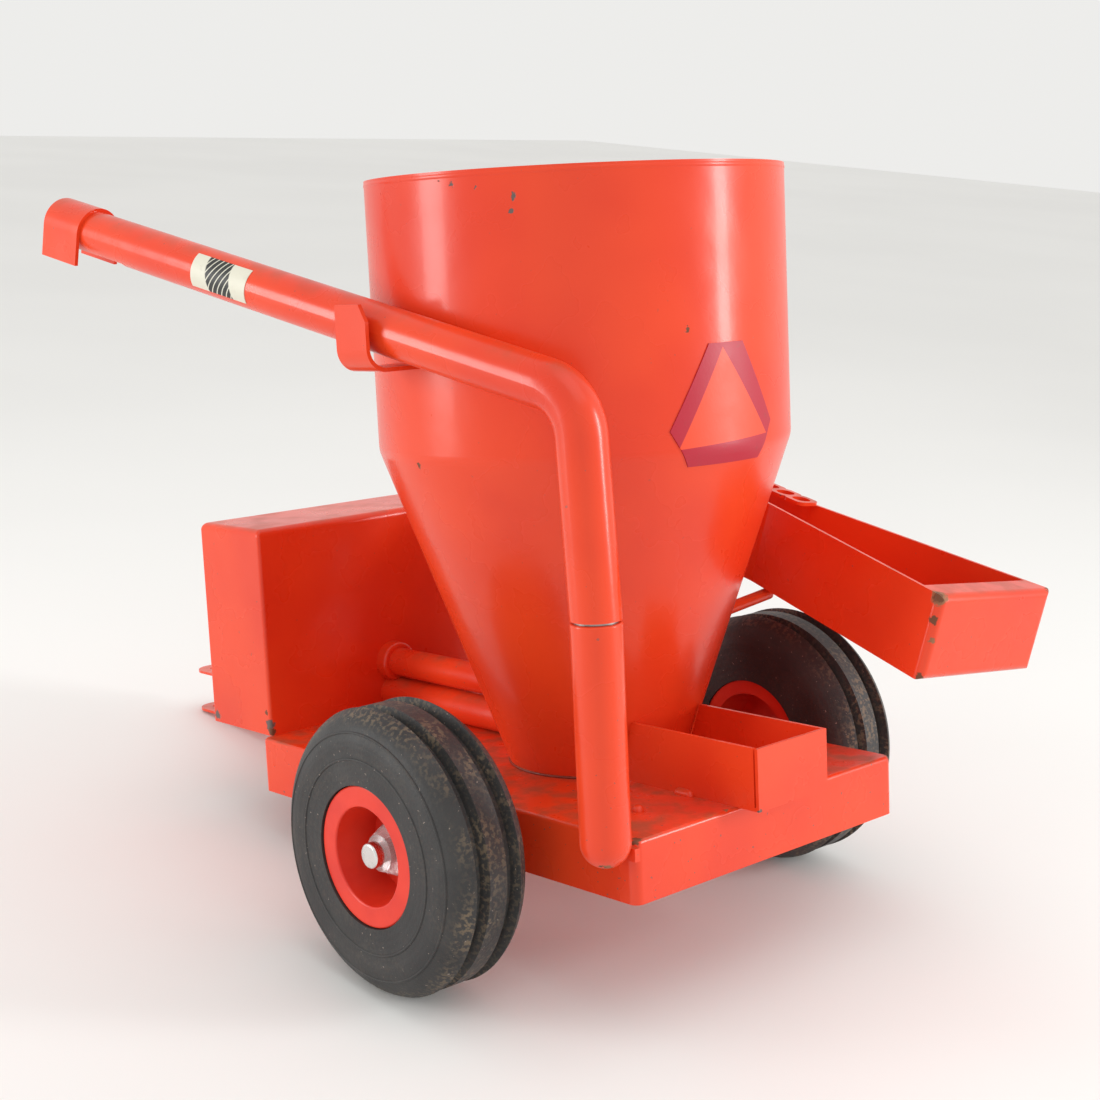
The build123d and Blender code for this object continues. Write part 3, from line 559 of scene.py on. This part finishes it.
# ---------------------------------------------------------------- sub-assemblies
@dataclass
class Tank:
    """The mixing tank, its emblem, and the weld round its foot."""

    seam_r: float = 0.45 * MM
    seam_steps: int = 120
    seam_sides: int = 8
    wander: float = 0.10 * MM
    triangle_top: float = 27.2 * MM
    triangle_foot: float = 4.9 * MM
    triangle_half_w: float = 14.3 * MM
    emblem_turn: float = radians(2.9)
    border: Colour = (0.470, 0.008, 0.030)
    orange: Colour = (0.86, 0.072, 0.022)
    print_edge: float = 0.15 * MM

    def __post_init__(self) -> None:
        """Reads the tank's axis and radius from its CAD box."""
        low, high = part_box("mixing_tank")
        self.axis = Vector(((low.x + high.x) / 2, (low.y + high.y) / 2, 0))
        self.radius = (high.x - low.x) / 2
        self.floor_z = low.z
        self.rim_z = high.z

    def on_wall(self, bearing: float, below_rim: float) -> Vector:
        """A place on the tank's upright wall.

        Args:
            bearing: direction from the axis in degrees, 0 forwards and 90 to the left.
            below_rim: distance under the rim.

        Returns:
            The place.
        """
        turn = radians(bearing)
        out = Vector((cos(turn), sin(turn), 0)) * self.radius
        return self.axis + out + Vector((0, 0, self.rim_z - below_rim))

    def marks(self) -> list[Mark]:
        """Chips round the rim and on the wall."""
        return [
            Mark(self.on_wall(122, 6.5 * MM), 1.0 * MM, Tone.STEEL),
            Mark(self.on_wall(121, 9.5 * MM), 0.9 * MM, Tone.STEEL),
            Mark(self.on_wall(105, 3.0 * MM), 0.8 * MM, Tone.STEEL),
            Mark(self.on_wall(101, 2.2 * MM), 0.7 * MM, Tone.RUST),
            Mark(self.on_wall(112, 4.0 * MM), 0.6 * MM, Tone.STEEL),
            Mark(self.on_wall(165, 38.0 * MM), 0.8 * MM, Tone.RUST),
            Mark(self.on_wall(87, 68.0 * MM), 1.3 * MM, Tone.RUST),
            Mark(self.on_wall(300, 2.0 * MM), 1.2 * MM, Tone.STEEL),
            Mark(self.on_wall(20, 14.0 * MM), 0.9 * MM, Tone.RUST),
        ]

    def build(self, dark: bpy.types.Material) -> None:
        """Makes the uneven seam of weld and grime between the tank's foot and the deck.

        Args:
            dark: the seam's finish.
        """
        foot_r = max(
            hypot(v.co.x - self.axis.x, v.co.y)
            for v in bpy.data.objects["mixing_tank"].data.vertices
            if v.co.z < self.floor_z + 0.1 * MM
        )
        start_piece()
        bpy.ops.mesh.primitive_torus_add(
            major_segments=self.seam_steps,
            minor_segments=self.seam_sides,
            major_radius=foot_r + 0.35 * self.seam_r,
            minor_radius=self.seam_r,
            location=(self.axis.x, self.axis.y, self.floor_z + 0.5 * self.seam_r),
        )
        bpy.ops.object.mode_set(mode="EDIT")
        bpy.ops.mesh.select_all(action="SELECT")
        bpy.ops.transform.vertex_random(offset=self.wander, seed=7)
        bpy.ops.mesh.vertices_smooth(factor=0.5, repeat=2)
        end_piece("tank_foot_seam", "chassis", dark)

    def emblem_material(self) -> bpy.types.Material:
        """The rear emblem: an orange triangle in a dark red border."""
        low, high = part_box("rear_emblem")
        centre = middle("rear_emblem")
        out = Vector((centre.x - self.axis.x, centre.y - self.axis.y, 0)).normalized()
        across = Vector((0, 0, 1)).cross(out)
        across = across * cos(self.emblem_turn) + Vector((0, 0, sin(self.emblem_turn)))
        foot = Vector((centre.x, centre.y, low.z))
        rise = out.cross(across).normalized()
        shade = Shade("emblem_vinyl")
        along = shade.math("ABSOLUTE", shade.dot(across, foot))
        height = shade.math("SUBTRACT", shade.dot(rise, foot), self.triangle_foot)
        tall = self.triangle_top - self.triangle_foot
        slant = shade.math("MULTIPLY", along, tall / self.triangle_half_w)
        left_over = shade.math("SUBTRACT", shade.math("SUBTRACT", tall, slant), height)
        above_foot = shade.between(height, 0.0, self.print_edge)
        under_sides = shade.between(left_over, 0.0, 2 * self.print_edge)
        inside = shade.math("MULTIPLY", above_foot, under_sides)
        LOG.info("emblem is %.1f mm tall", (high.z - low.z) / MM)
        return Sticker().finish(shade, shade.blend(inside, self.border, self.orange))

    def dress(self, enamel: Enamel) -> None:
        """Paints the tank and prints its emblem.

        Args:
            enamel: the paint.
        """
        paint("mixing_tank", enamel.material("tank_enamel", self.marks(), 0.3, 0.35))
        paint("rear_emblem", self.emblem_material())


@dataclass
class Chassis:
    """Deck, drawbar, drive housing, bin and the tubes between them."""

    dusty: float = 0.75

    def dress(self, enamel: Enamel, steel: bpy.types.Material) -> None:
        """Paints the welded pieces and the rivets.

        Args:
            enamel: the paint.
            steel: bare steel for pins and rivets.
        """
        box_low = corner("drive_housing", Vector((-0.1, 1, -1)))
        box_edge = corner("drive_housing", Vector((-1, 1, -1)))
        box_front = corner("drive_housing", Vector((1, 1, -1)))
        housing = [
            Mark(box_low + Vector((0, 0, 3.0 * MM)), 2.0 * MM, Tone.STEEL),
            Mark(box_edge + Vector((0, 0, 1.0 * MM)), 1.6 * MM, Tone.RUST),
            Mark(box_edge + Vector((1.5 * MM, 0, 6.5 * MM)), 0.8 * MM, Tone.RUST),
            Mark(box_front + Vector((-2 * MM, 0, 2 * MM)), 1.8 * MM, Tone.STEEL),
        ]
        paint("drive_housing", enamel.material("housing_enamel", housing, 0.35, 0.5))
        rear = corner("deck_pan", Vector((-1, 1, 1)))
        deck = [
            Mark(rear + Vector((0.5 * MM, -1.0 * MM, 0)), 1.6 * MM, Tone.RUST),
            Mark(rear + Vector((0, -30 * MM, 0)), 0.9 * MM, Tone.SCUFF),
            Mark(corner("deck_pan", Vector((-1, -1, 1))), 1.5 * MM, Tone.RUST),
        ]
        paint("deck_pan", enamel.material("deck_enamel", deck, self.dusty, 1.0))
        bin_low, bin_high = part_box("supplement_bin")
        bin_marks = [Mark(Vector((bin_low.x, bin_high.y, bin_low.z)), 1.0 * MM, Tone.STEEL)]
        paint("supplement_bin", enamel.material("bin_enamel", bin_marks, 0.4, 0.5))
        plain = enamel.material("small_part_enamel", [], 0.5, 0.7)
        for node in (
            "transfer_tube_upper",
            "transfer_tube_lower",
            "tube_collar",
            "weld_beads",
            "post_weld",
            "mill_housing",
            "feeder_bracket",
            "feeder_support_rod",
            "drawbar_upper_plate",
            "drawbar_lower_plate",
            "housing_clips",
        ):
            paint(node, plain)
        for node in (
            "axle",
            "axle_spacer_left",
            "axle_spacer_right",
            "clip_rivets",
            "drawbar_rivets",
            "drawbar_spacers",
            "feeder_pivot_rivet",
            "mill_rivets",
            "tank_rivet",
            "auger_swivel_pin",
        ):
            paint(node, steel)


@dataclass
class Auger:
    """The post, the bent arm that turns on it, the hood, the cradle and the arm's sticker."""

    cream: Colour = (0.72, 0.70, 0.58)
    black: Colour = (0.020, 0.022, 0.020)
    end_share: float = 0.30
    stripes: int = 4
    stripe_lean: float = 1.1
    stripe_share: float = 0.24
    print_edge: float = 0.01

    def dress(self, enamel: Enamel) -> None:
        """Paints the auger and prints its sticker.

        Args:
            enamel: the paint.
        """
        post_low, post_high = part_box("auger_post")
        arm_low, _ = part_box("auger_arm")
        back = Vector((post_low.x, (post_low.y + post_high.y) / 2, 0))
        arm_marks = [
            Mark(back + Vector((-0.2 * MM, 3.5 * MM, arm_low.z + 31 * MM)), 1.3 * MM, Tone.RUST),
            Mark(back + Vector((0.4 * MM, 4.2 * MM, arm_low.z + 36 * MM)), 0.8 * MM, Tone.STEEL),
            Mark(back + Vector((0.2 * MM, 3.0 * MM, arm_low.z + 26 * MM)), 0.7 * MM, Tone.RUST),
        ]
        paint("auger_arm", enamel.material("arm_enamel", arm_marks, 0.3, 0.6))
        foot = Vector((post_low.x + 2.5 * MM, back.y + 2.5 * MM, post_low.z + 0.7 * MM))
        post_marks = [
            Mark(foot, 1.9 * MM, Tone.SCUFF),
            Mark(foot + Vector((1.4 * MM, 0.8 * MM, 0)), 1.2 * MM, Tone.RUST),
        ]
        paint("auger_post", enamel.material("post_enamel", post_marks, 0.3, 0.6))
        hood_low, hood_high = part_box("spout_hood")
        hood_edge = Vector((hood_high.x, hood_high.y, hood_low.z + 1 * MM))
        hood_marks = [Mark(hood_edge, 1.2 * MM, Tone.RUST)]
        paint("spout_hood", enamel.material("hood_enamel", hood_marks, 0.3, 0.6))
        paint("auger_cradle", enamel.material("cradle_enamel", [], 0.2, 0.6))
        paint("auger_decal", self.sticker_material())

    def sticker_material(self) -> bpy.types.Material:
        """The arm's sticker: cream ends and a dark middle with leaning lines."""
        low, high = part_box("auger_decal")
        length = high.x - low.x
        shade = Shade("arm_sticker_paper")
        share = shade.math("DIVIDE", shade.dot(Vector((1, 0, 0)), low), length)
        rise = shade.math("DIVIDE", shade.dot(Vector((0, 0, 1)), low), length)
        centre_out = shade.math("ABSOLUTE", shade.math("SUBTRACT", share, 0.5))
        edge = 0.5 - self.end_share
        is_middle = shade.between(centre_out, edge + self.print_edge, edge - self.print_edge)
        leaning = shade.math("ADD", share, shade.math("MULTIPLY", rise, self.stripe_lean))
        middle_share = 1 - 2 * self.end_share
        phase = shade.math("FRACT", shade.math("MULTIPLY", leaning, self.stripes / middle_share))
        line = shade.between(phase, self.stripe_share, self.stripe_share - 0.08)
        printed = shade.blend(line, self.black, self.cream)
        return Sticker(0.45).finish(shade, shade.blend(is_middle, self.cream, printed))


@dataclass
class Feeder:
    """The folding trough and the link strip at its root."""

    def dress(self, enamel: Enamel) -> None:
        """Paints the trough and the strip.

        Args:
            enamel: the paint.
        """
        top = corner("feeder_trough", Vector((-1, 0.9, 0.6)))
        marks = [
            Mark(top, 3.2 * MM, Tone.SCUFF),
            Mark(top + Vector((0.5 * MM, 0, -0.6 * MM)), 1.8 * MM, Tone.RUST),
            Mark(top + Vector((1.5 * MM, 0.3 * MM, -6 * MM)), 1.5 * MM, Tone.RUST),
            Mark(top + Vector((2.2 * MM, 0.4 * MM, -11 * MM)), 1.2 * MM, Tone.SCUFF),
            Mark(corner("feeder_trough", Vector((-1, 0.9, -0.6))), 1.6 * MM, Tone.RUST),
            Mark(corner("feeder_trough", Vector((-1, -0.9, 0.6))), 1.3 * MM, Tone.RUST),
        ]
        paint("feeder_trough", enamel.material("trough_enamel", marks, 0.45, 0.5))
        paint("feeder_chain", enamel.material("strip_enamel", [], 0.6, 1.0))


@dataclass
class Wheel:
    """One wheel: rim, tyre, cap, cup, and the raised rings on the tyre's wall."""

    side: str
    ring_reach: tuple[float, ...] = (0.66, 0.86)
    ring_r: float = 0.35 * MM
    ring_steps: int = 96
    sunk: float = 0.30

    def build(self, rubber: bpy.types.Material) -> None:
        """Makes the raised rings on the tyre's outer wall.

        Args:
            rubber: the tyre's finish.
        """
        low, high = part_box(f"tyre_{self.side}")
        centre = (low + high) / 2
        radius = (high.z - low.z) / 2
        outwards = 1 if centre.y > 0 else -1
        wall = bpy.data.objects[f"tyre_{self.side}"].data.vertices
        for number, share in enumerate(self.ring_reach):
            reach = share * radius
            near = min(
                (v.co for v in wall if (v.co.y - centre.y) * outwards > 0),
                key=lambda co: abs(hypot(co.x - centre.x, co.z - centre.z) - reach),
            )
            start_piece()
            bpy.ops.mesh.primitive_torus_add(
                major_segments=self.ring_steps,
                minor_segments=8,
                major_radius=hypot(near.x - centre.x, near.z - centre.z),
                minor_radius=self.ring_r,
                location=(centre.x, near.y - outwards * self.sunk * self.ring_r, centre.z),
                rotation=(pi / 2, 0, 0),
            )
            name = f"tyre_ring_{self.side}_{number}"
            end_piece(name, f"wheel_{self.side}", rubber)

    def dress(
        self, plastic: bpy.types.Material, clear: bpy.types.Material, cap: bpy.types.Material
    ) -> None:
        """Gives the wheel's CAD pieces their finishes and makes its rings.

        Args:
            plastic: the rim's finish.
            clear: the cup's finish.
            cap: the cap's finish.
        """
        low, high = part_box(f"tyre_{self.side}")
        radius = (high.z - low.z) / 2
        rubber = Rubber().material(f"tyre_rubber_{self.side}", (low + high) / 2, radius)
        paint(f"tyre_{self.side}", rubber)
        paint(f"wheel_rim_{self.side}", plastic)
        paint(f"hub_retainer_{self.side}", clear)
        paint(f"axle_cap_{self.side}", cap)
        self.build(rubber)


# ---------------------------------------------------------------- studio
@dataclass(frozen=True)
class Panel:
    """A soft light, placed round the tank by its bearing from the camera's side."""

    name: str
    bearing: float
    height: float
    reach: float
    wide: float
    tall: float
    power: float


@dataclass
class Studio:
    """Floor, lights and camera round the toy."""

    floor_half: float = 3.0
    floor_colour: Colour = (0.89, 0.885, 0.87)
    sky: Colour = (1.0, 0.995, 0.975)
    sky_strength: float = 0.85
    panel_spread: float = radians(100)
    panels: tuple[Panel, ...] = (
        Panel("right_panel", radians(82), 0.16, 0.95, 0.14, 0.5, 1.3),
        Panel("left_panel", radians(-80), 0.16, 0.95, 0.26, 0.5, 1.1),
        Panel("ceiling", radians(40), 1.30, 0.60, 1.2, 1.2, 1.2),
    )
    camera_place: Vector = Vector((-0.53168, 0.32563, 0.13687))
    camera_heading: float = radians(-41.87)
    camera_fall: float = radians(8.87)
    camera_roll: float = radians(-2.67)
    lens: float = 61.62

    def __post_init__(self) -> None:
        """Finds the floor that the wheels and the drawbar's tip stand on."""
        low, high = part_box("tyre_left")
        hub = (low + high) / 2
        radius = (high.z - low.z) / 2
        bar_low, bar_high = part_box("drawbar_lower_plate")
        self.tip = Vector((bar_high.x, 0, bar_low.z))
        back, rise = self.tip.x - hub.x, hub.z - self.tip.z
        self.tilt = asin(radius / hypot(back, rise)) - atan2(rise, back)

    def lay_floor(self) -> None:
        """Lays the pale floor under the toy, tilted because the toy stands nose down."""
        start_piece()
        bpy.ops.mesh.primitive_grid_add(
            x_subdivisions=2,
            y_subdivisions=2,
            size=2 * self.floor_half,
            location=self.tip,
            rotation=(0, -self.tilt, 0),
        )
        floor = bpy.context.object
        floor.name = "floor"
        shade = Shade("floor_cloth")
        cloud = shade.between(shade.noise(0.4, 2.0), 0.3, 0.7)
        darker = tuple(0.97 * part for part in self.floor_colour)
        colour = shade.blend(cloud, self.floor_colour, darker)
        shade.bump(shade.noise(0.12, 1.0), 2.0 * MM)
        floor.data.materials.append(shade.set(base_color=colour, roughness=0.85))

    def light(self) -> None:
        """Hangs the soft lights round the tank."""
        world = bpy.data.worlds.new("studio")
        bpy.context.scene.world = world
        world.use_nodes = True
        background = world.node_tree.nodes["Background"]
        background.inputs["Color"].default_value = (*self.sky, 1.0)
        background.inputs["Strength"].default_value = self.sky_strength
        target = middle("mixing_tank")
        to_camera = atan2(self.camera_place.y - target.y, self.camera_place.x - target.x)
        for panel in self.panels:
            data = bpy.data.lights.new(panel.name, "AREA")
            data.shape = "RECTANGLE"
            data.size, data.size_y = panel.wide, panel.tall
            data.energy = panel.power
            data.spread = self.panel_spread
            lamp = bpy.data.objects.new(panel.name, data)
            bpy.context.scene.collection.objects.link(lamp)
            turn = to_camera + panel.bearing
            aside = Vector((cos(turn) * panel.reach, sin(turn) * panel.reach, panel.height))
            lamp.location = target + aside
            lamp.rotation_mode = "QUATERNION"
            lamp.rotation_quaternion = (target - lamp.location).to_track_quat("-Z", "Y")
        bpy.context.scene.view_settings.view_transform = "Standard"

    def place_camera(self) -> None:
        """Stands the camera where the toy is seen from behind on its left."""
        data = bpy.data.cameras.new("camera")
        data.lens = self.lens
        data.clip_start, data.clip_end = 0.01, 20.0
        camera = bpy.data.objects.new("camera", data)
        bpy.context.scene.collection.objects.link(camera)
        level = cos(self.camera_fall)
        ahead, aside = cos(self.camera_heading), sin(self.camera_heading)
        forwards = Vector((ahead * level, aside * level, -sin(self.camera_fall)))
        camera.location = self.camera_place
        camera.rotation_mode = "QUATERNION"
        roll = Quaternion((0, 0, 1), self.camera_roll)
        camera.rotation_quaternion = forwards.to_track_quat("-Z", "Y") @ roll
        bpy.context.scene.camera = camera


def main() -> None:
    """Dresses the toy, adds the small pieces, and sets the stage."""
    logging.basicConfig(level=logging.INFO, format="%(name)s %(message)s")
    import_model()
    enamel = Enamel()
    grime = Enamel(colour=(0.30, 0.035, 0.018), deep=(0.12, 0.025, 0.016), shine=0.5)
    steel = Metal((0.42, 0.40, 0.38), (0.20, 0.13, 0.09), 0.34).material("bare_steel")
    cap = Metal((0.78, 0.78, 0.77), (0.55, 0.54, 0.53), 0.16).material("bright_cap")
    plastic = Moulding((0.80, 0.040, 0.016), (0.70, 0.026, 0.012), 0.30).material("rim_plastic")
    clear = Moulding((0.95, 0.90, 0.90), (0.90, 0.80, 0.80), 0.22, 0.75).material("clear_cup")
    tank = Tank()
    tank.build(grime.material("foot_seam_enamel", [], 0.9, 1.0))
    tank.dress(enamel)
    Chassis().dress(enamel, steel)
    Auger().dress(enamel)
    Feeder().dress(enamel)
    for side in ("left", "right"):
        Wheel(side).dress(plastic, clear, cap)
    studio = Studio()
    studio.lay_floor()
    studio.light()
    studio.place_camera()


if __name__ == "__main__":
    main()
